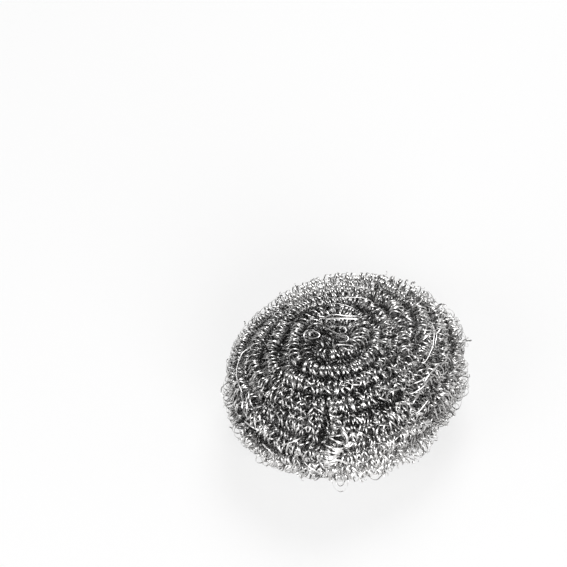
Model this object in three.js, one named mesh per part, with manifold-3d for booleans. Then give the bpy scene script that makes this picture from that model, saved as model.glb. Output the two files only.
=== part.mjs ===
// Wire scrubber: one long spring-like coil of flat stainless wire, wound turn on turn into a domed
// ball with a small hollow in its crown and a base that is pressed flat. Millimetres, +Z up.
// The winding is one solid under one skin. The skin follows the coil from the hollow to the middle of
// the base: every turn stands out of deep valleys as a ridge, and gaps part the ridge into the coil's loops.

import * as THREE from "three";
import { mergeVertices } from "three/addons/utils/BufferGeometryUtils.js";
import Module from "manifold-3d";

// Overall form of the ball
const BODY_DIAMETER = 80; // across the widest turn, taken as round
const BODY_HEIGHT = 40; // from the base to the top of the crown
const WAIST_HEIGHT = 19; // from the base to the widest turn
const BASE_DIAMETER = 28; // across the turns that it stands on
const CROWN_SHIFT = 4; // how far the crown sits to the left of the base
const OVAL_STRETCH = 3; // what the oval adds to its long radius and takes from its short one
const OVAL_AXIS = THREE.MathUtils.degToRad(45); // direction of the long radius, counted from +X

// Hollow in the crown, where the winding starts
const HOLLOW_DIAMETER = 6; // clear width between the innermost loops
const HOLLOW_DEPTH = 7; // from the rim to the innermost turn
const LIP_WIDTH = 3; // from the innermost turn out to the rim

// The coil and how it is wound
const COIL_DIAMETER = 5.2; // over the loops
const TURN_SPACING = 6.2; // between neighbouring turns
const LOOP_SPACING = 3.7; // between the loops along the coil
const LOOP_DEPTH = 2; // how deep the gap between two loops is
const VALLEY_DEPTH = 1.2; // how far the valleys between turns lie below the middle of the coil
const LOOP_SLANT = 1.6; // how far a loop runs along the coil while it crosses it
const BASE_PRESS = 1.2; // how far the lowest loops are pressed flat

// Unevenness of the winding. Each wave has a height, a number of lobes round the ball, a drift from one
// turn to the next and a start, both in radians. SWAY moves the turns sideways and LIFT in and out.
const SWAY_WAVES = [
  { height: 1.3, lobes: 3, drift: 0.8, start: 0.4 },
  { height: 0.7, lobes: 5, drift: 2.3, start: 2.0 },
];
const LIFT_WAVES = [
  { height: 0.5, lobes: 2, drift: 2.6, start: 1.1 },
  { height: 0.4, lobes: 4, drift: 1.4, start: 0.2 },
];

// Lines along the coil, as shares of the way across a turn: an edge, a flank, the crest, a flank, an edge
const COIL_LINES = [0.04, 0.26, 0.5, 0.74, 0.96];
const CREST = 0.5;

const FULL_TURN = 2 * Math.PI;
const STEEL = new THREE.MeshStandardMaterial({ color: 0xb4b2b0, roughness: 0.3, metalness: 1 });

const wasm = await Module();
wasm.setup();

const coilRadius = COIL_DIAMETER / 2;
const waistRadius = BODY_DIAMETER / 2 - coilRadius;
const crownLevel = BODY_HEIGHT - coilRadius;
const baseLevel = coilRadius - BASE_PRESS;

// Half outline that the coil's centre line follows: up out of the hollow, over the crown, round the waist
// and in under the base. x is the distance from the winding's axis and y is the height.
function meridianPath() {
  const throatRadius = HOLLOW_DIAMETER / 2 + coilRadius;
  const lipRadius = throatRadius + LIP_WIDTH;
  const lipAngle = Math.acos(lipRadius / waistRadius);
  const crownRise = crownLevel - WAIST_HEIGHT;
  const lipLevel = WAIST_HEIGHT + crownRise * Math.sin(lipAngle);
  const hollowLevel = lipLevel - HOLLOW_DEPTH;
  const baseRadius = BASE_DIAMETER / 2 - coilRadius;
  const tuckIn = waistRadius - baseRadius;
  const path = new THREE.Path();
  path.absellipse(lipRadius, hollowLevel, LIP_WIDTH, HOLLOW_DEPTH, Math.PI, Math.PI / 2, true);
  path.absellipse(0, WAIST_HEIGHT, waistRadius, crownRise, lipAngle, 0, true);
  path.absellipse(baseRadius, WAIST_HEIGHT, tuckIn, WAIST_HEIGHT - baseLevel, 0, -Math.PI / 2, true);
  path.lineTo(coilRadius, baseLevel);
  return path;
}

const meridian = meridianPath();
const meridianLength = meridian.getLength();
const turnCount = Math.round(meridianLength / TURN_SPACING);
const turnWidth = meridianLength / turnCount;

// Sideways shift of the winding at a height: none up to the waist, all of CROWN_SHIFT at the crown.
function crownOffset(height) {
  return -CROWN_SHIFT * THREE.MathUtils.smoothstep(height, WAIST_HEIGHT, crownLevel);
}

function waveSum(waves, angle, turns) {
  const heightOf = (wave) => wave.height * Math.sin(wave.lobes * angle + wave.drift * turns + wave.start);
  return waves.reduce((sum, wave) => sum + heightOf(wave), 0);
}

// How far the skin stands out of the coil's centre line, across the coil: the round of a loop or of the gap
// between two loops, and beside it the slope down into the valley.
function ridgeHeight(across, onLoop) {
  const radius = onLoop ? coilRadius : coilRadius - LOOP_DEPTH;
  const aside = Math.abs(across - CREST) * turnWidth;
  const slope = (-VALLEY_DEPTH * (aside - radius)) / (turnWidth / 2 - radius);
  return aside < radius ? Math.sqrt(radius ** 2 - aside ** 2) : slope;
}

// A point of the skin after winding through an angle, part of the way across the turn.
function skinPoint(angle, across, onLoop) {
  const turns = angle / FULL_TURN + across;
  const evenShare = Math.min(1, turns / turnCount);
  const reach = meridian.getPoint(evenShare).x;
  const slack = reach / waistRadius;
  const swayed = evenShare + (slack * waveSum(SWAY_WAVES, angle, turns)) / meridianLength;
  const share = THREE.MathUtils.clamp(swayed, 0, 1);
  const point = meridian.getPoint(share);
  const heading = meridian.getTangent(share);
  const outward = new THREE.Vector2(-heading.y, heading.x);
  const lift = slack * waveSum(LIFT_WAVES, angle, turns);
  point.addScaledVector(outward, lift + ridgeHeight(across, onLoop));
  const slanted = angle + (LOOP_SLANT * (across - CREST)) / Math.max(reach, COIL_DIAMETER);
  const radius = point.x * (1 + (OVAL_STRETCH / waistRadius) * Math.cos(2 * (slanted - OVAL_AXIS)));
  return new THREE.Vector3(
    radius * Math.cos(slanted) + crownOffset(point.y),
    radius * Math.sin(slanted),
    point.y,
  );
}

// Winding angles of the rings of points: two to each loop, so that loops and gaps take turns.
function windingAngles() {
  const angles = [0];
  while (angles.at(-1) < FULL_TURN * (turnCount - 1)) {
    const share = (angles.at(-1) / FULL_TURN + CREST) / turnCount;
    const reach = Math.max(meridian.getPoint(share).x, COIL_DIAMETER);
    angles.push(angles.at(-1) + LOOP_SPACING / 2 / reach);
  }
  return angles;
}

// The closed skin: a strip that winds along the coil, sewn to its next turn along the valley between them,
// with the hollow's floor and the middle of the base closed by fans.
function windingSkin() {
  const angles = windingAngles();
  const last = angles.length - 1;
  const lineAt = (across) => angles.map((angle, i) => skinPoint(angle, across, i % 2 === 0));
  const points = COIL_LINES.flatMap(lineAt);
  const lines = COIL_LINES.map((_, line) => line * angles.length);
  const innerEdge = lines[0];
  const outerEdge = lines.at(-1);
  const index = [];

  // Quads between neighbouring lines of the strip
  for (let line = 0; line < lines.length - 1; line++) {
    for (let i = 0; i < last; i++) {
      const near = lines[line] + i;
      const far = lines[line + 1] + i;
      index.push(near, far, near + 1, far, far + 1, near + 1);
    }
  }

  // Seam along the valley, from the outer edge of each turn to the inner edge of the next
  const seamStart = angles.findIndex((angle) => angle >= FULL_TURN);
  let outer = 0;
  let inner = seamStart;
  while (inner < last) {
    if (angles[outer + 1] + FULL_TURN < angles[inner + 1]) {
      index.push(outerEdge + outer, innerEdge + inner, outerEdge + outer + 1);
      outer++;
    } else {
      index.push(outerEdge + outer, innerEdge + inner, innerEdge + inner + 1);
      inner++;
    }
  }

  // Fans over the two ends of the strip
  const fan = (rim, centre) => {
    const middle = points.push(centre) - 1;
    rim.forEach((here, i) => index.push(middle, here, rim[(i + 1) % rim.length]));
  };
  const range = (from, to) => Array.from({ length: to - from + 1 }, (_, i) => from + i);
  const hollowRim = [...range(innerEdge, innerEdge + seamStart), ...lines.slice(1).reverse()];
  const floorLevel = meridian.getPoint(0).y;
  fan(hollowRim, new THREE.Vector3(crownOffset(floorLevel), 0, floorLevel));
  const coilEnd = lines.map((line) => line + last);
  const baseRim = [...coilEnd, ...range(outerEdge + outer, outerEdge + last - 1).reverse()];
  fan(baseRim, new THREE.Vector3(0, 0, baseLevel));

  return new THREE.BufferGeometry().setFromPoints(points).setIndex(index);
}

function solidOf(geometry) {
  const bare = geometry.clone();
  bare.deleteAttribute("normal");
  bare.deleteAttribute("uv");
  const merged = mergeVertices(bare);
  const vertProperties = merged.getAttribute("position").array;
  const triVerts = new Uint32Array(merged.getIndex().array);
  return new wasm.Manifold(new wasm.Mesh({ numProp: 3, vertProperties, triVerts }));
}

function geometryOf(solid) {
  const mesh = solid.getMesh();
  const geometry = new THREE.BufferGeometry();
  geometry.setAttribute("position", new THREE.BufferAttribute(mesh.vertProperties, 3));
  geometry.setIndex(new THREE.BufferAttribute(mesh.triVerts, 1));
  return geometry;
}

// The winding with its lowest loops cut off level, as they are pressed flat where it stands.
function pressedWinding() {
  const floorDepth = COIL_DIAMETER;
  const floor = new THREE.BoxGeometry(2 * BODY_DIAMETER, 2 * BODY_DIAMETER, floorDepth);
  floor.translate(0, 0, -floorDepth / 2);
  const geometry = geometryOf(solidOf(windingSkin()).subtract(solidOf(floor)));
  geometry.computeBoundingBox();
  const middle = geometry.boundingBox.getCenter(new THREE.Vector3());
  return geometry.translate(-middle.x, -middle.y, 0);
}

const scrubber = new THREE.Group();
const woundCoil = new THREE.Mesh(pressedWinding(), STEEL);
woundCoil.name = "wound_coil";
scrubber.add(woundCoil);

export default scrubber;
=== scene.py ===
# Wire scrubber: a flattened ball wound turn on turn from one long springy coil of flat stainless wire.
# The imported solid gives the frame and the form, and every loop of the wire is made here. Metres, +Z up.
import math

import bpy
import numpy as np
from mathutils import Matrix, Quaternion, Vector


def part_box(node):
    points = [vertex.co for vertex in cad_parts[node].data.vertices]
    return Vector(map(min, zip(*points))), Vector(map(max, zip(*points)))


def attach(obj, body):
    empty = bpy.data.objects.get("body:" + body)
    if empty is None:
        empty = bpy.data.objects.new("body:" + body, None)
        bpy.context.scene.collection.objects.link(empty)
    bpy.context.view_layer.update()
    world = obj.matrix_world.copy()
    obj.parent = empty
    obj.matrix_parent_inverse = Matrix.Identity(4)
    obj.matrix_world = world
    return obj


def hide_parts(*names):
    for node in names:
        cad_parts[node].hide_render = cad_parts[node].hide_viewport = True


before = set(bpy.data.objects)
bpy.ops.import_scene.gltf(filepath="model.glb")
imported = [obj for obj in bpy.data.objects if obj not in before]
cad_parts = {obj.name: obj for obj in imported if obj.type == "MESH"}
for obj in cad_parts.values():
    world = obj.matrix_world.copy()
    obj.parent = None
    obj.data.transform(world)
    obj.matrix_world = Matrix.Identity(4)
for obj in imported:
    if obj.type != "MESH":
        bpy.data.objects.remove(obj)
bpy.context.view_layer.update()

MM = 0.001
FULL_TURN = 2 * math.pi

# The ball, its hollow and its winding, as the solid has them
BALL_DIAMETER = 80 * MM
BALL_HEIGHT = 40 * MM
WAIST_HEIGHT = 19 * MM
BASE_DIAMETER = 28 * MM
CROWN_SHIFT = 4 * MM
OVAL_STRETCH = 3 * MM
OVAL_AXIS = math.radians(45)
HOLLOW_DIAMETER = 6 * MM
HOLLOW_DEPTH = 7 * MM
LIP_WIDTH = 3 * MM
COIL_RADIUS = 2.6 * MM
TURN_SPACING = 6.2 * MM
BASE_PRESS = 1.2 * MM
CREST = 0.5  # where the coil's centre line runs, as a share of the way across a turn
LEAST_DIP = 1 * MM  # how far the deepest layers still dip under the hollow

# Unevenness of the winding: height, lobes round the ball, drift from turn to turn, start
SWAY_WAVES = ((1.3 * MM, 3, 0.8, 0.4), (0.7 * MM, 5, 2.3, 2.0))
LIFT_WAVES = ((0.5 * MM, 2, 2.6, 1.1), (0.4 * MM, 4, 1.4, 0.2))

# The flat wire, and the layers of coil that are wound from it. Depth counts inward from the centre line of
# the solid's coil. A top makes a layer start below that height, outside the hollow. Sway multiplies the
# sideways waves, start is the share of a turn that is left out at first, aside moves the turns over by a
# share of one, and sink is how much deeper the coil lies where it is neat. A layer's painted shade darkens
# all of its wire, and its painted backlight brightens the insides of its loops at the back.
WIRE_WIDTH = 0.42 * MM
WIRE_THICKNESS = 0.14 * MM
SPRUNG_THICKNESS = 0.2 * MM
LAYERS = (
    {"name": "skirt_coil", "depth": 0.6 * MM, "spacing": 3.9 * MM, "top": WAIST_HEIGHT + 7 * MM, "sway": 2.2,
     "radius": 1.8 * MM, "pitch": 1.3 * MM, "steps": 11, "seed": 7.0},
    {"name": "outer_coil", "depth": -0.3 * MM, "spacing": TURN_SPACING, "top": None, "sway": 1, "start": 0.66,
     "painted_backlight": 0.7, "radius": 2.2 * MM, "pitch": 1.4 * MM, "steps": 14, "seed": 3.0},
    {"name": "valley_coil", "depth": 0.6 * MM, "spacing": TURN_SPACING, "top": None, "sway": 1, "start": 0.66,
     "aside": 0.5, "sink": 4 * MM, "radius": 1.8 * MM, "pitch": 1.4 * MM, "steps": 12, "seed": 13.0},
    {"name": "middle_coil", "depth": 4.2 * MM, "spacing": 5.8 * MM, "top": None, "sway": 1, "painted_layer_shade": 0.6,
     "radius": COIL_RADIUS, "pitch": 1.5 * MM, "steps": 12, "seed": 11.0},
    {"name": "inner_coil", "depth": 8.6 * MM, "spacing": 5.8 * MM, "top": None, "sway": 1, "painted_layer_shade": 1.0,
     "aside": -0.5, "radius": COIL_RADIUS, "pitch": 1.9 * MM, "steps": 10, "seed": 23.0},
)
POINTS_A_TURN = 160
ARC_STEPS = 60
HEADING_STEP = 1 * MM
SEARCH_GRID = (720, 300)  # angles, and lengths along the outline, where a pixel's point of the ball is sought

# How loosely the coil lies, from neat at 0 to loose at 1. It grows to the right of the middle, to the front
# and low down, over a run and up to a most. Behind the middle, the slant moves its start to the right.
LEAST_LOOSE = 0.1
RIGHT_RUN = 18 * MM
RIGHT_MOST = 0.8
RIGHT_SLANT = 0.6
FRONT_START = -10 * MM
FRONT_RUN = 20 * MM
FRONT_MOST = 0.45
LOW_START = WAIST_HEIGHT + 6 * MM
LOW_RUN = 14 * MM
LOW_MOST = 0.65
FREE_LOOSE = 0.3

# Painted light that brightens the insides of loops in place of light off the floor, by millimetres of height,
# of distance from the middle and of X, and in place of light from behind, by millimetres of Y and X
PAINTED_LIGHT_BY_HEIGHT = ((12, 30), (1, 0))
PAINTED_LIGHT_BY_REACH = ((12, 22), (0, 1))
PAINTED_LIGHT_BY_SIDE = ((-30, 10, 30), (0.36, 0.8, 0.95))
PAINTED_BACKLIGHT_BY_BACK = ((8, 20), (0, 1))
PAINTED_BACKLIGHT_BY_SIDE = ((5, 22), (1, 0.2))

# How the loops of a coil differ: the grain of the line's drift, the part of its rise that is taken out, the
# unevenness that a neat coil keeps, what looseness adds to the size, and how fast the slow and the quick
# changes run from loop to loop, with a salt that parts their draws
DRIFT_SCALE = 80.0
RISE_CUT = 0.5
LEAST_UNEVEN = 0.35
LOOSE_SWELL = 0.15
SLOW_PACE, SLOW_SALT = 0.13, 31.7
QUICK_PACE, QUICK_SALT = 0.83, 17.3
NOISE_MIDDLE = (0.5, 0.5, 0.5)
CRISP_EDGE = 0.9  # share of the half width past which the wire's edges are sharp

# Small stray loops: how far round they go in radians, their points, their sizes, and where they stand. They
# may start on every third place that faces out, above a lowest level. Fewer stand on the left, by X in
# millimetres.
STRAY_SWEEPS = (2.2, 3.4, 4.8)
STRAY_STEPS = 7
STRAY_SIZES = (0.6, 1.2)
STRAY_LOWEST = 5 * MM
STRAY_STRIDE = 3
STRAY_FACING = 0.5
STRAY_BY_SIDE = ((-30, 5), (0.25, 1))

# The photograph's frame, its viewpoint, and where the middle of the ball falls in it
FRAME_PIXELS = 567
BALL_PIXEL = (345.5, 370)
VIEW_ELEVATION = math.radians(50)
VIEW_DISTANCE = 514 * MM
LENS = 100
SENSOR = 36

# Wires that have sprung out of the winding, each by the pixels of the photograph that it passes over. They
# bow out of it between their ends, as high as the lift over the coil's centre line or the level over the
# floor. The smaller the bow's power is, the steeper they leave the winding and the flatter they run. A
# group's lamp is the one that its wires glint in. Without it, each takes the lamp that suits its run best.
SPRUNG_ROOT = 1.5 * MM  # height of the ends over the coil's centre line, where the group has a lift
SPRUNG_DROP = 4 * MM  # depth of the ends under the level, where the group has a level
SPRUNG_STEP = 0.6 * MM
BOW_POINTS = 11
EVENING_ROUNDS = 3
SPRUNG = (
    {"name": "side_wire", "bow": 0.35, "lift": 5.6 * MM, "width": 0.42 * MM, "tracks": (
        ((249, 389), (248.5, 399), (246.5, 404), (248, 415)),
    )},
    {"name": "low_wire", "bow": 0.35, "lamp": "front_softbox", "lift": 5.6 * MM, "width": 0.42 * MM,
     "tracks": (
        ((243, 420), (250.5, 426), (262, 432)),
        ((260, 411), (260, 422), (264.5, 429), (266, 440)),
        ((280, 446), (291, 442.5), (303, 437)),
        ((261, 442.5), (268.6, 449.3), (274, 456)),
        ((274, 439.5), (278, 446.4), (282.5, 454)),
        ((287, 450.5), (288, 459.3), (290, 463.6), (294, 469)),
        ((301, 457), (308.6, 466.4), (317, 472), (324, 475.5)),
    )},
    {"name": "right_wire", "bow": 0.5, "lift": 4.6 * MM, "width": 0.32 * MM, "tracks": (
        ((429.5, 317.5), (434.5, 331), (433, 346), (427, 360), (416, 370)),
        ((431, 322), (437, 334), (434.5, 348), (430, 357)),
    )},
    {"name": "streak_wire", "bow": 0.35, "lift": 6.4 * MM, "width": 0.46 * MM, "tracks": (
        ((437.5, 366), (429.3, 374.3), (425.7, 380), (421.4, 388.6), (416.5, 396)),
        ((432, 373), (428.6, 375.7), (421.4, 380.7), (414.3, 383.6), (407, 387)),
        ((431, 376.5), (422.9, 387.1), (414.3, 392.9), (404, 395)),
        ((430.5, 396), (427.1, 401.4), (422.9, 407.1), (418.6, 412.1), (412, 416.5), (405.5, 424)),
        ((417.5, 394.5), (412.1, 405.7), (409, 417)),
        ((384, 398), (390, 393), (396, 389.5), (401, 389)),
    )},
    {"name": "tail_wire", "bow": 0.35, "lamp": "front_softbox", "lift": 6.0 * MM, "width": 0.6 * MM,
     "tracks": (
        ((329.5, 411.5), (331, 417), (332, 422)),
        ((334, 422), (335, 427), (336, 431.5)),
        ((337, 417.5), (339.5, 425), (343, 431.5), (346.5, 436), (347.5, 441), (347, 445)),
        ((338, 418), (341, 425), (344.5, 431), (347.5, 435)),
    )},
    {"name": "fan_wire", "bow": 0.35, "lamp": "front_softbox", "lift": 6.6 * MM, "width": 0.6 * MM,
     "tracks": (
        ((333, 442), (334.8, 446.7), (337.6, 448.9), (340.9, 448.9), (345, 447.5)),
        ((330.5, 443.5), (332.6, 448.3), (335.3, 450.6), (338.7, 451.9), (344, 450.5)),
        ((322.5, 451), (325.3, 455.6), (329.2, 457.2), (333.1, 456.7), (339, 453)),
        ((323, 453), (326.4, 458.3), (330.3, 459.2), (334.2, 457.8), (338.5, 455)),
        ((320.5, 459.5), (325.3, 462.8), (329.2, 462.8), (333.1, 460.6), (338.1, 460), (343.1, 461.7),
         (347, 463)),
    )},
    {"name": "left_wire", "bow": 0.6, "lift": 4.8 * MM, "width": 0.36 * MM, "tracks": (
        ((257, 330), (249, 332), (243, 337), (241, 343)),
        ((254, 342), (249, 348), (243, 352), (240.5, 356), (238, 363), (236, 371), (236.5, 380), (240, 389),
         (243, 399), (242, 408), (246, 413)),
    )},
    {"name": "waist_wire", "bow": 0.35, "lift": 4.8 * MM, "width": 0.36 * MM, "tracks": (
        ((236, 374), (237.5, 382), (241, 390), (243, 399), (242, 407), (244.5, 414)),
    )},
    {"name": "crown_wire", "bow": 0.25, "level": 41.0 * MM, "width": 0.56 * MM, "tracks": (
        ((322, 321.5), (329, 319), (335, 318.3), (341, 318.2), (349, 318.5), (357, 318.8), (363, 320)),
        ((320, 320.5), (326, 317), (331.5, 314.8), (338, 314.6), (344, 315.8), (350, 316.2), (357, 316.2),
         (363, 317.5)),
    )},
    {"name": "row_wire", "bow": 0.25, "lift": 3.4 * MM, "width": 0.34 * MM, "tracks": (
        ((336, 285.5), (342, 284.8), (350, 285.8), (358, 287.3), (367, 288.3), (375, 291.5)),
        ((324, 296), (333, 298.5), (342, 298), (350, 297.3), (358, 297.5), (367, 298.8), (374, 302)),
        ((325, 306), (331, 304), (337, 303.5), (345, 305), (353, 308), (358, 312)),
    )},
    {"name": "crown_eye", "bow": 0.25, "level": 39.5 * MM, "width": 0.42 * MM, "tracks": (
        ((307, 335.3), (308.5, 332.4), (312.5, 331.2), (317, 332), (320, 335), (318, 337.6), (313, 338.6),
         (308.8, 337.8), (307, 335.3)),
        ((309, 329), (305, 332), (303.5, 336), (305, 340), (308, 342)),
    )},
    {"name": "edge_loop", "bow": 0.6, "lift": 5.0 * MM, "width": 0.3 * MM, "tracks": (
        ((331, 474), (332, 481.5), (333.7, 486.6), (336.8, 490.3), (340.6, 491.8), (344.4, 490.3),
         (347, 486.6), (348.2, 481.5), (348.2, 474)),
        ((335, 474), (335.6, 480), (337.4, 484.4), (340.6, 486.2), (343.6, 484.4), (345, 480), (345, 474)),
        ((367, 470), (368.2, 475), (371, 478.7), (375, 480.2), (379, 478.7), (381.8, 475), (383, 469)),
        ((232, 382), (225, 384), (221.5, 388), (221, 393), (224, 399.5), (230, 402)),
    )},
    {"name": "hollow_wire", "bow": 0.25, "level": 40.8 * MM, "width": 0.4 * MM, "tracks": (
        ((328, 327.5), (337, 326.5), (344.5, 327), (346.5, 330.5), (344, 333.5), (334, 333.5)),
        ((335, 336), (343, 335), (348.5, 336.5), (348.5, 340), (345, 342), (336, 341)),
        ((333, 345), (345, 344.5), (353, 345.5), (355, 348), (352, 350), (342, 349.5)),
    )},
)

# Short runs of coil that lie over the winding: the pixels they pass over, their size and how flat they lie
FREE_COILS = (
    {"name": "front_tail",
     "pixels": ((337, 408), (338.5, 419), (341, 429), (337, 441), (333, 452), (331, 462), (334, 473),
                (340, 481)),
     "lift": 4.0 * MM, "radius": 2.2 * MM, "flatness": 0.8, "pitch": 1.3 * MM, "seed": 5.0},
    {"name": "crown_start",
     "pixels": ((314, 329), (316, 324), (322, 320), (331, 317.5), (340, 317.5), (348, 320), (353, 325),
                (356, 331), (356.5, 338), (354.5, 344), (350, 349)),
     "lift": 0.3 * MM, "radius": 2.3 * MM, "flatness": 0.9, "pitch": 1.6 * MM, "seed": 9.0},
)

# The steel: its darker and brighter patches, the span of the painted shading, how much of its tone the
# painted shade leaves inside the loops, and its roughness
DULL_STEEL = (0.46, 0.455, 0.45, 1)
BRIGHT_STEEL = (0.9, 0.89, 0.88, 1)
PATCH_SCALE = 160
PATCH_RANGE = (0.32, 0.68)
PAINTED_SHADING_RANGE = (-0.5, 0.85)
PAINTED_SHADE_INSIDE = 0.13
GRAIN_SCALE = 900
POLISH = (0.15, 0.38)
GRAIN_DEPTH = 0.05 * MM

# Floor, lamps and surrounding light, which fades from the horizon to the top. The background's share is how
# much of the floor's look is plain white. A lamp has a name, a place, a width and the brightness that it
# gives a white floor.
FLOOR_TONE = 0.95
FLOOR_REACH = 1.5
BACKGROUND_SHARE = 0.65
SURROUND_LOW = 1.0
SURROUND_HIGH = 0.0
LAMPS = (
    ("left_softbox", (-0.6, -0.5, 0.4), 0.5, 0.13),
    ("back_softbox", (0.1, 0.5, 0.7), 0.5, 0.35),
    ("front_softbox", (0.3, -0.78, 0.32), 0.7, 0.31),
)


# The winding


def half_outline(depth):
    """Radius and height along the outline that a layer follows: hollow, crown, waist and base."""
    waist = BALL_DIAMETER / 2 - COIL_RADIUS - depth
    crown_rise = BALL_HEIGHT - COIL_RADIUS - depth - WAIST_HEIGHT
    base = COIL_RADIUS - BASE_PRESS + depth
    lip = HOLLOW_DIAMETER / 2 + COIL_RADIUS + LIP_WIDTH
    lip_angle = math.acos(lip / waist)
    dip = max(HOLLOW_DEPTH - depth, LEAST_DIP)
    hollow = WAIST_HEIGHT + crown_rise * math.sin(lip_angle) - dip
    foot = BASE_DIAMETER / 2 - COIL_RADIUS

    def arc(middle, size, start, end):
        turn = np.linspace(start, end, ARC_STEPS)
        return np.array(middle) + np.array(size) * np.column_stack((np.cos(turn), np.sin(turn)))

    under_hollow = depth > HOLLOW_DEPTH
    return np.vstack((
        [(0, hollow)] if under_hollow else np.empty((0, 2)),
        arc((lip, hollow), (LIP_WIDTH, dip), math.pi, math.pi / 2),
        arc((0, WAIST_HEIGHT), (waist, crown_rise), lip_angle, 0),
        arc((foot, WAIST_HEIGHT), (waist - foot, WAIST_HEIGHT - base), 0, -math.pi / 2),
        [(0 if under_hollow else COIL_RADIUS, base)],
    ))


def waves(rows, angle, turns):
    """Height of all the waves in a table, at an angle of the winding and a count of turns."""
    return sum(height * np.sin(lobes * angle + drift * turns + start) for height, lobes, drift, start in rows)


def crown_offset(height):
    """Sideways shift of the winding at a height: none up to the waist, all of it at the crown."""
    share = np.clip((height - WAIST_HEIGHT) / (BALL_HEIGHT - COIL_RADIUS - WAIST_HEIGHT), 0, 1)
    return -CROWN_SHIFT * share * share * (3 - 2 * share)


class Layer:
    """One layer of the winding: its outline, and places on it by angle and by length along the outline."""

    def __init__(self, depth):
        self.outline = half_outline(depth)
        steps = np.linalg.norm(np.diff(self.outline, axis=0), axis=1)
        self.lengths = np.concatenate(([0], np.cumsum(steps)))
        self.total = self.lengths[-1]
        self.waist = self.outline[:, 0].max()

    def at(self, length):
        return np.column_stack([np.interp(length, self.lengths, self.outline[:, axis]) for axis in (0, 1)])

    def places(self, angle, length, lift):
        """Points of the layer, raised by a lift, and the way out of the ball at each."""
        length = np.clip(length, HEADING_STEP, self.total - HEADING_STEP)
        heading = self.at(length + HEADING_STEP / 2) - self.at(length - HEADING_STEP / 2)
        heading /= np.linalg.norm(heading, axis=1, keepdims=True)
        outward = np.column_stack((-heading[:, 1], heading[:, 0]))
        spot = self.at(length) + outward * np.broadcast_to(lift, angle.shape)[:, None]
        oval = OVAL_STRETCH / (BALL_DIAMETER / 2 - COIL_RADIUS)
        radius = spot[:, 0] * (1 + oval * np.cos(2 * (angle - OVAL_AXIS)))
        across = radius * np.cos(angle) + crown_offset(spot[:, 1])
        points = np.column_stack((across, radius * np.sin(angle), spot[:, 1]))
        aside, upward = outward.T
        ways = np.column_stack((aside * np.cos(angle), aside * np.sin(angle), upward))
        return points, ways

    def wound(self, spacing, top=None, sway=1, aside=0):
        """Centre line of the coil, from the hollow or from below a top, to the middle of the base. It can lie
        aside of the main turns by a share of a turn."""
        turn_count = round(self.total / spacing)
        wound_turns = turn_count - CREST - aside
        angle = np.linspace(0, FULL_TURN * wound_turns, round(POINTS_A_TURN * wound_turns))
        turns = angle / FULL_TURN + CREST + aside
        even = self.total * turns / turn_count
        slack = self.at(even)[:, 0] / self.waist
        length = even + sway * slack * waves(SWAY_WAVES, angle, turns)
        points, ways = self.places(angle, length, slack * waves(LIFT_WAVES, angle, turns))
        outside = even > self.lengths[self.outline[:, 1].argmax()]
        first = np.argmax(outside & (self.at(even)[:, 1] < top)) if top else 0
        return points[first:], ways[first:]


OUTER_LAYER = Layer(0)


def solid_shift():
    """What moves the winding sideways to where the solid stands."""
    points, ways = OUTER_LAYER.wound(TURN_SPACING)
    skin = points + COIL_RADIUS * ways
    low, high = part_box("wound_coil")
    shift = (low + high) / 2 - Vector((skin.min(axis=0) + skin.max(axis=0)) / 2)
    return np.array((shift.x, shift.y, 0))


SHIFT = solid_shift()


def viewpoint():
    """Place and turn of the photograph's camera."""
    back = Vector((0, -math.cos(VIEW_ELEVATION), math.sin(VIEW_ELEVATION)))
    place = Vector((0, 0, BALL_HEIGHT / 2)) + back * VIEW_DISTANCE
    focal = LENS / SENSOR * FRAME_PIXELS
    yaw = math.atan((BALL_PIXEL[0] - FRAME_PIXELS / 2) / focal)
    pitch = math.atan((BALL_PIXEL[1] - FRAME_PIXELS / 2) / focal)
    turn = (-back).to_track_quat("-Z", "Y") @ Quaternion((0, 1, 0), yaw) @ Quaternion((1, 0, 0), pitch)
    return place, turn


def on_ball(pixels, lift):
    """Points of the ball that pixels of the photograph show, raised over the outer coil's centre line."""
    angles, lengths = SEARCH_GRID
    angle, length = np.meshgrid(np.linspace(0, FULL_TURN, angles), np.linspace(0, OUTER_LAYER.total, lengths))
    points, ways = OUTER_LAYER.places(angle.ravel(), length.ravel(), lift)
    points = points + SHIFT
    place, turn = viewpoint()
    seen = ((np.array(place) - points) * ways).sum(axis=1) > 0
    points, ways = points[seen], ways[seen]
    local = (points - np.array(place)) @ np.array(turn.to_matrix())
    focal = LENS / SENSOR * FRAME_PIXELS
    shown = FRAME_PIXELS / 2 - focal * local[:, :2] / local[:, 2:] * (1, -1)
    nearest = [np.argmin(((shown - pixel) ** 2).sum(axis=1)) for pixel in pixels]
    return points[nearest], ways[nearest]


def evened(depths):
    """Depths along a wire without their small jumps."""
    for _ in range(EVENING_ROUNDS):
        padded = np.pad(depths, 1, mode="edge")
        depths = (padded[:-2] + 2 * depths + padded[2:]) / 4
    return depths


def sprung_line(group, track):
    """Points of a sprung wire over its track of pixels. It bows out from ends in the winding."""
    track = np.array(track, dtype=float)
    steps = np.concatenate(([0], np.cumsum(np.linalg.norm(np.diff(track, axis=0), axis=1))))
    share = np.linspace(0, 1, BOW_POINTS)
    pixels = np.column_stack([np.interp(share * steps[-1], steps, track[:, axis]) for axis in (0, 1)])
    place, turn = viewpoint()
    aside = (pixels - FRAME_PIXELS / 2) / (LENS / SENSOR * FRAME_PIXELS)
    rays = np.column_stack((aside[:, 0], -aside[:, 1], -np.ones(BOW_POINTS))) @ np.array(turn.to_matrix()).T
    ahead = np.array(turn @ Vector((0, 0, -1)))
    if "level" in group:
        low, high = ((group["level"] - drop - place.z) / rays[:, 2] for drop in (SPRUNG_DROP, 0))
    else:
        low, high = (
            evened((on_ball(pixels, lift)[0] - np.array(place)) @ ahead)
            for lift in (SPRUNG_ROOT, group["lift"])
        )
    bow = np.sin(math.pi * share).clip(0, 1) ** group["bow"]
    return np.array(place) + rays * (low + (high - low) * bow)[:, None]


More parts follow.
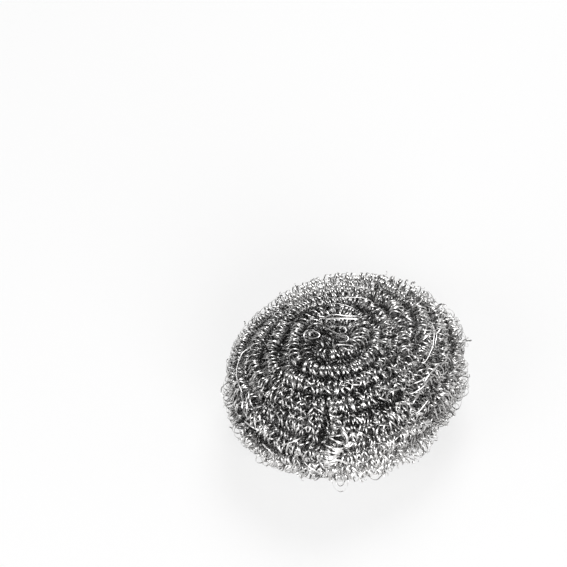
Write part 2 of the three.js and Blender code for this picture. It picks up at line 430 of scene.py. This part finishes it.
def rooted(points, winding):
    """The points of a sprung wire with both ends moved to the nearest points of the winding."""
    ends = [winding[np.argmin(((winding - end) ** 2).sum(axis=1))] for end in points[[0, -1]]]
    return np.vstack((ends[0], points[1:-1], ends[1]))


def unit(vectors):
    return vectors / np.linalg.norm(vectors, axis=1, keepdims=True)


def glinting(points, chosen):
    """What the flat of a wire faces to send a lamp's light to the camera: the chosen lamp's, or else that of
    the lamp that suits its run best."""
    run = unit(np.gradient(points, axis=0))
    to_camera = unit(np.array(viewpoint()[0]) - points)
    places = [place for name, place, width, share in LAMPS if chosen in (name, None)]
    choices = [unit(unit(np.array(place) - points) + to_camera) for place in places]
    return min(choices, key=lambda halfway: np.abs((halfway * run).sum(axis=1)).mean())


def guide_line(name, points, ways, loose, painted_backlight=0):
    """A line of edges for a wire to follow. Each point keeps which way the wire faces, how loosely it lies
    there and how much painted light brightens the insides of its loops there."""
    mesh = bpy.data.meshes.new(name)
    mesh.from_pydata(points.tolist(), [(i, i + 1) for i in range(len(points) - 1)], [])
    mesh.attributes.new("outward", "FLOAT_VECTOR", "POINT").data.foreach_set("vector", ways.ravel())
    mesh.attributes.new("loose", "FLOAT", "POINT").data.foreach_set("value", loose)
    # Painted light inside the loops: brighter low down, away from the middle and to the right, and at the
    # back where a layer has painted backlight
    x, y, z = points.T / MM
    painted_light = np.interp(z, *PAINTED_LIGHT_BY_HEIGHT) * np.interp(np.hypot(x, y), *PAINTED_LIGHT_BY_REACH)
    painted_light *= np.interp(x, *PAINTED_LIGHT_BY_SIDE)
    painted_light = np.maximum(painted_light, painted_backlight * np.interp(y, *PAINTED_BACKLIGHT_BY_BACK) * np.interp(x, *PAINTED_BACKLIGHT_BY_SIDE))
    mesh.attributes.new("painted_light", "FLOAT", "POINT").data.foreach_set("value", painted_light)
    return mesh


# Node trees


SOCKETS = {float: "NodeSocketFloat", int: "NodeSocketInt", bpy.types.Material: "NodeSocketMaterial"}
WIRE_INPUTS = {"Wire Width": float, "Wire Thickness": float, "Seed": float, "Material": bpy.types.Material}


class Sketch:
    """A geometry node tree that is being built: named inputs, then nodes fed by values or by other nodes."""

    def __init__(self, name, inputs):
        self.tree = bpy.data.node_groups.new(name, "GeometryNodeTree")
        self.tree.interface.new_socket("Geometry", in_out="INPUT", socket_type="NodeSocketGeometry")
        self.tree.interface.new_socket("Geometry", in_out="OUTPUT", socket_type="NodeSocketGeometry")
        for label, kind in inputs.items():
            self.tree.interface.new_socket(label, in_out="INPUT", socket_type=SOCKETS[kind])
        self.inputs = self.tree.nodes.new("NodeGroupInput").outputs

    def node(self, kind, feeds, output=0, **options):
        node = self.tree.nodes.new(kind)
        for option, value in options.items():
            setattr(node, option, value)
        for key, value in feeds.items():
            if isinstance(value, bpy.types.NodeSocket):
                self.tree.links.new(value, node.inputs[key])
            else:
                node.inputs[key].default_value = value
        return node.outputs if output is None else node.outputs[output]

    def maths(self, operation, first, second=0.0):
        return self.node("ShaderNodeMath", {0: first, 1: second}, operation=operation)

    def vector(self, operation, first, second=(0, 0, 0)):
        return self.node("ShaderNodeVectorMath", {0: first, 1: second}, operation=operation)

    def scaled(self, vector, factor):
        return self.node("ShaderNodeVectorMath", {0: vector, "Scale": factor}, operation="SCALE")

    def dot(self, first, second):
        return self.node("ShaderNodeVectorMath", {0: first, 1: second}, 1, operation="DOT_PRODUCT")

    def named(self, name, kind):
        return self.node("GeometryNodeInputNamedAttribute", {"Name": name}, data_type=kind)

    def position(self):
        return self.node("GeometryNodeInputPosition", {})

    def split(self, vector):
        return self.node("ShaderNodeSeparateXYZ", {0: vector}, None)

    def random_run(self, place, salt):
        """Three numbers of about -0.5 to 0.5 that run smoothly along a place, by the seed and a salt."""
        start = self.maths("MULTIPLY", self.inputs["Seed"], salt)
        feeds = {"W": self.maths("ADD", place, start), "Scale": 1.0, "Detail": 0.0}
        noise = self.node("ShaderNodeTexNoise", feeds, "Color", noise_dimensions="1D")
        return self.split(self.vector("SUBTRACT", noise, NOISE_MIDDLE))

    def stored(self, geometry, name, value):
        """The geometry with a number kept at each of its points."""
        feeds = {"Geometry": geometry, "Name": name, "Value": value}
        return self.node("GeometryNodeStoreNamedAttribute", feeds, data_type="FLOAT", domain="POINT")

    def turned(self, curve, normal):
        """The curve with the flat of its wire facing a normal."""
        return self.node("GeometryNodeSetCurveNormal", {"Curve": curve, "Normal": normal}, mode="FREE")

    def swept(self, curve):
        """The flat wire swept along a curve: slightly crowned faces that meet in two crisp edges."""
        half = self.maths("MULTIPLY", self.inputs["Wire Width"], 0.5)
        feeds = {"Width": self.inputs["Wire Thickness"], "Bottom Height": half, "Top Height": half}
        section = self.node("GeometryNodeCurvePrimitiveQuadrilateral", feeds, mode="KITE")
        reach = self.maths("ABSOLUTE", self.split(self.position())["Y"])
        section = self.stored(section, "edge", self.maths("DIVIDE", reach, half))
        feeds = {"Curve": curve, "Profile Curve": section, "Fill Caps": True}
        wire = self.node("GeometryNodeCurveToMesh", feeds)
        wire = self.node("GeometryNodeSetShadeSmooth", {"Geometry": wire}, domain="FACE")
        crisp = self.maths("GREATER_THAN", self.named("edge", "FLOAT"), CRISP_EDGE)
        feeds = {"Geometry": wire, "Selection": crisp, "Shade Smooth": False}
        return self.node("GeometryNodeSetShadeSmooth", feeds, domain="EDGE")

    def finish(self, geometry):
        real = self.node("GeometryNodeRealizeInstances", {"Geometry": geometry})
        feeds = {"Geometry": real, "Material": self.inputs["Material"]}
        dressed = self.node("GeometryNodeSetMaterial", feeds)
        end = self.tree.nodes.new("NodeGroupOutput")
        self.tree.links.new(dressed, end.inputs["Geometry"])
        return self.tree


def smooth_line(sketch, step):
    """The guide as a smooth curve with points a step apart."""
    line = sketch.node("GeometryNodeMeshToCurve", {"Mesh": sketch.inputs["Geometry"]})
    line = sketch.node("GeometryNodeCurveSplineType", {"Curve": line}, spline_type="CATMULL_ROM")
    return sketch.node("GeometryNodeResampleCurve", {"Curve": line, "Length": step}, mode="LENGTH")


def coil_tree():
    """A springy coil of flat wire that winds round a guide line."""
    sketch = Sketch("springy_coil", {
        "Coil Radius": float, "Tightness": float, "Flatness": float, "Loop Pitch": float, "Loop Steps": int,
        "Wander": float, "Bunching": float, "Swelling": float, "Lean": float, "Painted Layer Shade": float,
        "Floor": float, **WIRE_INPUTS,
    })
    given = sketch.inputs
    step = sketch.maths("DIVIDE", given["Loop Pitch"], given["Loop Steps"])
    line = smooth_line(sketch, step)
    outward = sketch.vector("NORMALIZE", sketch.named("outward", "FLOAT_VECTOR"))
    loose = sketch.named("loose", "FLOAT")

    # The line strays from its even path, more to the sides than in and out
    feeds = {"Vector": sketch.position(), "W": given["Seed"], "Scale": DRIFT_SCALE, "Detail": 1.0}
    drift = sketch.node("ShaderNodeTexNoise", feeds, "Color", noise_dimensions="4D")
    stray = sketch.scaled(sketch.vector("SUBTRACT", drift, NOISE_MIDDLE), given["Wander"])
    rise = sketch.scaled(outward, sketch.maths("MULTIPLY", sketch.dot(stray, outward), RISE_CUT))
    stray = sketch.scaled(sketch.vector("SUBTRACT", stray, rise), loose)
    line = sketch.node("GeometryNodeSetPosition", {"Geometry": line, "Offset": stray})

    # Loops bunch and swell slowly along the coil, and each leans its own way
    amount = sketch.maths("ADD", loose, LEAST_UNEVEN)
    along = sketch.node("GeometryNodeSplineParameter", {}, "Length")
    loop = sketch.maths("DIVIDE", along, given["Loop Pitch"])
    slow = sketch.random_run(sketch.maths("MULTIPLY", loop, SLOW_PACE), SLOW_SALT)
    quick = sketch.random_run(sketch.maths("MULTIPLY", loop, QUICK_PACE), QUICK_SALT)
    bunched = sketch.maths("MULTIPLY", slow["X"], given["Bunching"])
    phase = sketch.maths("MULTIPLY", sketch.maths("ADD", loop, bunched), FULL_TURN)
    swollen = sketch.maths("MULTIPLY", sketch.maths("ADD", slow["Y"], quick["Z"]), given["Swelling"])
    swollen = sketch.maths("ADD", sketch.maths("MULTIPLY", swollen, amount), given["Tightness"])
    swollen = sketch.maths("ADD", swollen, sketch.maths("MULTIPLY", loose, LOOSE_SWELL))
    radius = sketch.maths("MULTIPLY", given["Coil Radius"], swollen)
    leaning = sketch.maths("MULTIPLY", given["Lean"], amount)

    # The loops themselves
    tangent = sketch.node("GeometryNodeInputTangent", {})
    side = sketch.vector("NORMALIZE", sketch.vector("CROSS_PRODUCT", tangent, outward))
    up = sketch.maths("COSINE", phase)
    across = sketch.maths("SINE", phase)
    radial = sketch.vector("ADD", sketch.scaled(outward, up), sketch.scaled(side, across))
    keep = sketch.tree.nodes.new("GeometryNodeCaptureAttribute")
    keep.capture_items.new("VECTOR", "Radial")
    keep.capture_items.new("FLOAT", "Crest")
    sketch.tree.links.new(line, keep.inputs["Geometry"])
    sketch.tree.links.new(radial, keep.inputs["Radial"])
    sketch.tree.links.new(up, keep.inputs["Crest"])
    pitching = sketch.maths("MULTIPLY", quick["X"], up)
    yawing = sketch.maths("MULTIPLY", quick["Y"], across)
    lean = sketch.scaled(tangent, sketch.maths("MULTIPLY", sketch.maths("ADD", pitching, yawing), leaning))
    tall = sketch.scaled(outward, sketch.maths("MULTIPLY", up, given["Flatness"]))
    ring = sketch.scaled(sketch.vector("ADD", tall, sketch.scaled(side, across)), radius)
    feeds = {"Geometry": keep.outputs["Geometry"], "Offset": sketch.vector("ADD", ring, lean)}
    line = sketch.node("GeometryNodeSetPosition", feeds)

    # Loops that would reach under the ball are pressed flat on what it stands on. To the sides, the limit of
    # a metre is out of reach.
    lowest = sketch.node("ShaderNodeCombineXYZ", {"X": -1.0, "Y": -1.0, "Z": given["Floor"]})
    pressed = sketch.vector("MAXIMUM", sketch.position(), lowest)
    line = sketch.node("GeometryNodeSetPosition", {"Geometry": line, "Position": pressed})

    # Painted shade darkens the wire inside its loops and in deep layers, and painted light takes some of it
    # away where light would get in
    painted_shading = sketch.maths("SUBTRACT", keep.outputs["Crest"], given["Painted Layer Shade"])
    shade_left = sketch.maths("SUBTRACT", 1.0, painted_shading)
    painted_shading = sketch.maths("ADD", painted_shading, sketch.maths("MULTIPLY", shade_left, sketch.named("painted_light", "FLOAT")))
    line = sketch.stored(sketch.turned(line, keep.outputs["Radial"]), "painted_shading", painted_shading)
    return sketch.finish(sketch.swept(line))


def strand_tree():
    """A bare run of the flat wire along guide lines, where its coil has been pulled out straight."""
    sketch = Sketch("sprung_strands", {"Step": float, **WIRE_INPUTS})
    line = smooth_line(sketch, sketch.inputs["Step"])
    line = sketch.turned(line, sketch.named("outward", "FLOAT_VECTOR"))
    # Bare wire gets no painted shade
    return sketch.finish(sketch.swept(sketch.stored(line, "painted_shading", 1.0)))


def fuzz_tree():
    """Small open loops of wire that stand out of the winding, each from one of the guide's points."""
    sketch = Sketch("loop_fuzz", {"Share": float, "Loop Radius": float, "Tilt": float, **WIRE_INPUTS})
    given = sketch.inputs
    seed = sketch.node("FunctionNodeFloatToInt", {0: given["Seed"]})
    share = sketch.maths("MULTIPLY", given["Share"], sketch.named("loose", "FLOAT"))
    feeds = {"Probability": share, "Seed": seed}
    chosen = sketch.node("FunctionNodeRandomValue", feeds, 3, data_type="BOOLEAN")

    # Each loop starts at its own origin and reaches along -X
    back = sketch.maths("MULTIPLY", given["Loop Radius"], -1.0)
    to_start = sketch.node("ShaderNodeCombineXYZ", {"X": back})
    loops = sketch.tree.nodes.new("GeometryNodeJoinGeometry")
    for sweep in STRAY_SWEEPS:
        feeds = {"Resolution": STRAY_STEPS, "Radius": given["Loop Radius"], "Sweep Angle": sweep}
        arc = sketch.node("GeometryNodeCurveArc", feeds, mode="RADIUS")
        arc = sketch.turned(arc, sketch.vector("NORMALIZE", sketch.position()))
        arc = sketch.node("GeometryNodeSetPosition", {"Geometry": arc, "Offset": to_start})
        # Stray loops get no painted shade
        wire = sketch.swept(sketch.stored(arc, "painted_shading", 1.0))
        one = sketch.node("GeometryNodeGeometryToInstance", {"Geometry": wire})
        sketch.tree.links.new(one, loops.inputs["Geometry"])

    # It stands out of the ball, rolled any way round and tilted. Each draw has a seed of its own.
    inward = sketch.scaled(sketch.named("outward", "FLOAT_VECTOR"), -1.0)
    standing = sketch.node("FunctionNodeAlignRotationToVector", {"Vector": inward}, axis="X")
    other_way = sketch.maths("MULTIPLY", given["Tilt"], -1.0)
    low = sketch.node("ShaderNodeCombineXYZ", {"X": 0.0, "Y": other_way, "Z": other_way})
    high = sketch.node("ShaderNodeCombineXYZ", {"X": FULL_TURN, "Y": given["Tilt"], "Z": given["Tilt"]})
    feeds = {0: low, 1: high, "Seed": sketch.maths("ADD", seed, 2.0)}
    tumble = sketch.node("FunctionNodeRandomValue", feeds, 0, data_type="FLOAT_VECTOR")
    tumble = sketch.node("FunctionNodeEulerToRotation", {"Euler": tumble})
    feeds = {"Rotation": standing, "Rotate By": tumble}
    turn = sketch.node("FunctionNodeRotateRotation", feeds, rotation_space="LOCAL")
    least, most = STRAY_SIZES
    feeds = {2: least, 3: most, "Seed": sketch.maths("ADD", seed, 3.0)}
    size = sketch.node("FunctionNodeRandomValue", feeds, 1, data_type="FLOAT")
    feeds = {
        "Points": given["Geometry"], "Selection": chosen, "Instance": loops.outputs[0],
        "Pick Instance": True, "Rotation": turn, "Scale": size,
    }
    return sketch.finish(sketch.node("GeometryNodeInstanceOnPoints", feeds))


def grow(name, guide, tree, settings):
    """Run a tree on a guide and keep what it makes as a plain mesh."""
    piece = bpy.data.objects.new(name, guide)
    bpy.context.scene.collection.objects.link(piece)
    growth = piece.modifiers.new("growth", "NODES")
    growth.node_group = tree
    for socket in tree.interface.items_tree:
        if socket.in_out == "INPUT" and socket.name in settings:
            growth[socket.identifier] = settings[socket.name]
    graph = bpy.context.evaluated_depsgraph_get()
    mesh = bpy.data.meshes.new_from_object(piece.evaluated_get(graph))
    piece.modifiers.clear()
    piece.data = mesh
    mesh.name = name
    return piece


# Finishes


def steel_wire():
    """Bright drawn stainless wire, a little uneven in tone and polish, with painted shade on the inside of
    its loops.
    """
    material = bpy.data.materials.new("steel_wire")
    material.use_nodes = True
    nodes, links = material.node_tree.nodes, material.node_tree.links
    shader = nodes["Principled BSDF"]
    shader.inputs["Metallic"].default_value = 1.0
    place = nodes.new("ShaderNodeTexCoord")
    patches = nodes.new("ShaderNodeTexNoise")
    patches.inputs["Scale"].default_value = PATCH_SCALE
    patches.inputs["Detail"].default_value = 4
    links.new(place.outputs["Object"], patches.inputs["Vector"])
    tone = nodes.new("ShaderNodeValToRGB")
    for stop, place_on_ramp, colour in zip(tone.color_ramp.elements, PATCH_RANGE, (DULL_STEEL, BRIGHT_STEEL)):
        stop.position = place_on_ramp
        stop.color = colour
    links.new(patches.outputs["Fac"], tone.inputs["Fac"])
    # Painted shade: the painted shading kept on the wire darkens its tone inside its loops, down to a share
    painted_shading = nodes.new("ShaderNodeAttribute")
    painted_shading.attribute_name = "painted_shading"
    depth = nodes.new("ShaderNodeMapRange")
    depth.interpolation_type = "SMOOTHSTEP"
    depth.inputs["From Min"].default_value, depth.inputs["From Max"].default_value = PAINTED_SHADING_RANGE
    depth.inputs["To Min"].default_value = PAINTED_SHADE_INSIDE
    depth.inputs["To Max"].default_value = 1.0
    links.new(painted_shading.outputs["Fac"], depth.inputs["Value"])
    shade = nodes.new("ShaderNodeVectorMath")
    shade.operation = "SCALE"
    links.new(tone.outputs["Color"], shade.inputs[0])
    links.new(depth.outputs["Result"], shade.inputs["Scale"])
    links.new(shade.outputs["Vector"], shader.inputs["Base Color"])
    grain = nodes.new("ShaderNodeTexNoise")
    grain.inputs["Scale"].default_value = GRAIN_SCALE
    grain.inputs["Detail"].default_value = 3
    links.new(place.outputs["Object"], grain.inputs["Vector"])
    polish = nodes.new("ShaderNodeMapRange")
    polish.inputs["To Min"].default_value, polish.inputs["To Max"].default_value = POLISH
    links.new(grain.outputs["Fac"], polish.inputs["Value"])
    links.new(polish.outputs["Result"], shader.inputs["Roughness"])
    bump = nodes.new("ShaderNodeBump")
    bump.inputs["Strength"].default_value = 0.25
    bump.inputs["Distance"].default_value = GRAIN_DEPTH
    links.new(grain.outputs["Fac"], bump.inputs["Height"])
    links.new(bump.outputs["Normal"], shader.inputs["Normal"])
    return material


def pale_floor():
    """A white floor that takes the shadow. The camera and the steel see it as part of a pale background."""
    material = bpy.data.materials.new("pale_floor")
    material.use_nodes = True
    nodes, links = material.node_tree.nodes, material.node_tree.links
    shader = nodes["Principled BSDF"]
    shader.inputs["Base Color"].default_value = (FLOOR_TONE, FLOOR_TONE, FLOOR_TONE, 1)
    shader.inputs["Roughness"].default_value = 0.8
    shader.inputs["Specular IOR Level"].default_value = 0.0
    backdrop = nodes.new("ShaderNodeEmission")
    backdrop.inputs["Strength"].default_value = 1.0
    path = nodes.new("ShaderNodeLightPath")
    seen = path.outputs["Is Camera Ray"]
    for kind in ("Is Glossy Ray", "Is Transmission Ray"):
        either = nodes.new("ShaderNodeMath")
        either.operation = "MAXIMUM"
        links.new(seen, either.inputs[0])
        links.new(path.outputs[kind], either.inputs[1])
        seen = either.outputs["Value"]
    share = nodes.new("ShaderNodeMath")
    share.operation = "MULTIPLY"
    share.inputs[1].default_value = BACKGROUND_SHARE
    links.new(seen, share.inputs[0])
    mix = nodes.new("ShaderNodeMixShader")
    links.new(share.outputs["Value"], mix.inputs["Fac"])
    links.new(shader.outputs["BSDF"], mix.inputs[1])
    links.new(backdrop.outputs["Emission"], mix.inputs[2])
    links.new(mix.outputs["Shader"], nodes["Material Output"].inputs["Surface"])
    return material


# The scrubber


def looseness(points):
    """How loosely the coil lies: neat on the upper left, jumbled in front, on the right and low down."""
    x, y, z = points.T
    right = np.clip((x - RIGHT_SLANT * y.clip(0)) / RIGHT_RUN, 0, RIGHT_MOST)
    front = np.clip((FRONT_START - y) / FRONT_RUN, 0, FRONT_MOST)
    low = np.clip((LOW_START - z) / LOW_RUN, 0, LOW_MOST)
    return LEAST_LOOSE + (1 - LEAST_LOOSE) * np.maximum(np.maximum(right, front), low)


def corners(mesh):
    """Places of a mesh's corners."""
    places = np.empty(3 * len(mesh.vertices))
    mesh.vertices.foreach_get("co", places)
    return places.reshape(-1, 3)


def outer_crests(mesh):
    """Points on the outsides of a coil's loops where stray loops may start, and the way out at each."""
    normals = np.empty(3 * len(mesh.vertices))
    mesh.vertices.foreach_get("normal", normals)
    ways = np.empty(3 * len(mesh.vertices))
    mesh.attributes["outward"].data.foreach_get("vector", ways)
    normals, ways = normals.reshape(-1, 3), ways.reshape(-1, 3)
    points = corners(mesh)
    chosen = ((normals * ways).sum(axis=1) > STRAY_FACING) & (points[:, 2] > STRAY_LOWEST)
    return points[chosen][::STRAY_STRIDE], ways[chosen][::STRAY_STRIDE]


def wind_scrubber():
    """All of the scrubber's wire: layers of coil, runs of coil over them, sprung wires and stray loops."""
    steel = steel_wire()
    wire = {"Wire Width": WIRE_WIDTH, "Wire Thickness": WIRE_THICKNESS, "Material": steel}
    loops = {
        "Wander": 8 * MM, "Bunching": 5.0, "Swelling": 0.9, "Lean": 6 * MM, "Painted Layer Shade": 0.0,
        "Floor": WIRE_THICKNESS / 2, **wire,
    }
    coil = coil_tree()
    pieces = []
    for layer in LAYERS:
        points, ways = Layer(layer["depth"]).wound(
            layer["spacing"], layer["top"], layer["sway"], layer.get("aside", 0),
        )
        first = round(layer.get("start", 0) * POINTS_A_TURN)
        points, ways = points[first:] + SHIFT, ways[first:]
        loose = looseness(points)
        points = points - ways * (layer.get("sink", 0) * (1 - loose))[:, None]
        guide = guide_line(layer["name"], points, ways, loose, layer.get("painted_backlight", 0))
        pieces.append(grow(layer["name"], guide, coil, {
            **loops, "Coil Radius": layer["radius"] - WIRE_THICKNESS / 2, "Loop Pitch": layer["pitch"],
            "Loop Steps": layer["steps"], "Painted Layer Shade": layer.get("painted_layer_shade", 0.0), "Seed": layer["seed"],
            "Tightness": 0.88, "Flatness": 0.95,
        }))
    for run in FREE_COILS:
        points, ways = on_ball(run["pixels"], run["lift"])
        guide = guide_line(run["name"], points, ways, np.full(len(points), FREE_LOOSE))
        pieces.append(grow(run["name"], guide, coil, {
            **loops, "Coil Radius": run["radius"], "Tightness": 0.95, "Flatness": run["flatness"],
            "Loop Pitch": run["pitch"], "Loop Steps": 16, "Seed": run["seed"],
        }))

    winding = np.vstack([corners(piece.data) for piece in pieces])
    strand = strand_tree()
    for group in SPRUNG:
        for number, track in enumerate(group["tracks"], 1):
            points = rooted(sprung_line(group, track), winding)
            ways = glinting(points, group.get("lamp"))
            guide = guide_line(group["name"], points, ways, np.ones(len(points)))
            pieces.append(grow("%s_%02d" % (group["name"], number), guide, strand, {
                **wire, "Wire Width": group["width"], "Wire Thickness": SPRUNG_THICKNESS, "Step": SPRUNG_STEP,
            }))

    points, ways = outer_crests(bpy.data.objects["outer_coil"].data)
    fewer = np.interp(points[:, 0] / MM, *STRAY_BY_SIDE)
    guide = guide_line("fuzz", points, ways, looseness(points) * fewer)
    pieces.append(grow("loop_fuzz", guide, fuzz_tree(), {
        **wire, "Share": 0.45, "Loop Radius": 0.7 * MM, "Tilt": 1.0, "Seed": 40.0,
    }))
    return pieces


# Floor, light and camera


def lay_floor():
    rim = [(FLOOR_REACH * x, FLOOR_REACH * y, 0) for x, y in ((-1, -1), (1, -1), (1, 1), (-1, 1))]
    mesh = bpy.data.meshes.new("floor")
    mesh.from_pydata(rim, [], [(0, 1, 2, 3)])
    mesh.materials.append(pale_floor())
    floor = bpy.data.objects.new("floor", mesh)
    bpy.context.scene.collection.objects.link(floor)


def hang_lamp(name, place, width, share):
    """A round softbox that faces the scrubber. By its power and its distance, a white floor there gets the
    share as its brightness."""
    lamp = bpy.data.lights.new(name, "AREA")
    lamp.shape = "DISK"
    lamp.size = width
    distance = Vector(place).length
    lamp.energy = share * math.pi ** 2 * distance ** 3 / place[2]
    holder = bpy.data.objects.new(name, lamp)
    holder.location = place
    holder.rotation_euler = (-Vector(place)).to_track_quat("-Z", "Y").to_euler()
    bpy.context.scene.collection.objects.link(holder)


def set_light():
    world = bpy.data.worlds.new("studio")
    bpy.context.scene.world = world
    world.use_nodes = True
    nodes, links = world.node_tree.nodes, world.node_tree.links
    way = nodes.new("ShaderNodeTexCoord")
    split = nodes.new("ShaderNodeSeparateXYZ")
    links.new(way.outputs["Generated"], split.inputs["Vector"])
    walls = nodes.new("ShaderNodeMapRange")
    walls.inputs["To Min"].default_value = SURROUND_LOW
    walls.inputs["To Max"].default_value = SURROUND_HIGH
    links.new(split.outputs["Z"], walls.inputs["Value"])
    links.new(walls.outputs["Result"], nodes["Background"].inputs["Color"])
    for name, place, width, share in LAMPS:
        hang_lamp(name, place, width, share)


def place_camera():
    lens = bpy.data.cameras.new("camera")
    lens.lens = LENS
    lens.sensor_width = SENSOR
    lens.clip_start = 0.01
    camera = bpy.data.objects.new("camera", lens)
    camera.rotation_mode = "QUATERNION"
    camera.location, camera.rotation_quaternion = viewpoint()
    bpy.context.scene.collection.objects.link(camera)
    bpy.context.scene.camera = camera


coils = wind_scrubber()
for piece in coils:
    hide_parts("wound_coil")
    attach(piece, "root")
lay_floor()
set_light()
place_camera()
bpy.context.scene.view_settings.view_transform = "Standard"
